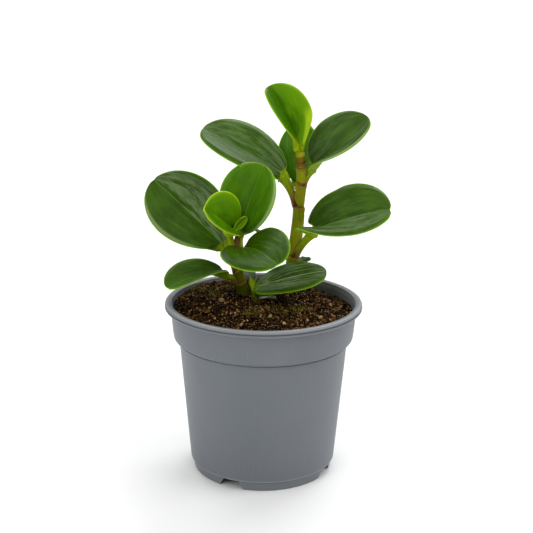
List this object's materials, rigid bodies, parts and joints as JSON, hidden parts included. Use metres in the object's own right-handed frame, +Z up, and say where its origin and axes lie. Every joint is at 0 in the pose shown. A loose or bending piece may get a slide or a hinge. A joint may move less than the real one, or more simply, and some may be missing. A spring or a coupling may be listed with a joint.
{
  "type": "potted peperomia",
  "caption": "Fleshy-leaved peperomia growing on upright stems out of dark soil in a plain round grey nursery pot with a rolled rim and a notched foot.",
  "frame": {"origin": "centre of the circle that the pot's foot stands on, on the ground", "axes": "+Z up through the pot; -Y is the plant's front; +X is to the right seen from the front"},
  "size_m": [0.1517, 0.12, 0.2343],
  "materials": {
    "pot": "satin",
    "soil": "matte",
    "stem": "satin",
    "leaf": "satin",
    "leaf_young": "satin"
  },
  "bodies": {
    "root": {"pot": "pot", "soil": "soil", "stem_tall": "stem", "stem_short": "stem", "stem_side": "stem", "leaf_tall_top": "leaf_young", "leaf_tall_left": "leaf", "leaf_tall_right": "leaf", "leaf_tall_low_right": "leaf", "leaf_tall_back": "leaf", "leaf_tall_low_left": "leaf", "leaf_tall_low_back": "leaf", "leaf_short_left": "leaf", "leaf_short_back": "leaf", "leaf_short_young": "leaf_young", "leaf_short_front": "leaf", "leaf_short_low": "leaf", "leaf_side": "leaf", "leaf_side_small": "leaf"}
  },
  "joints": []
}
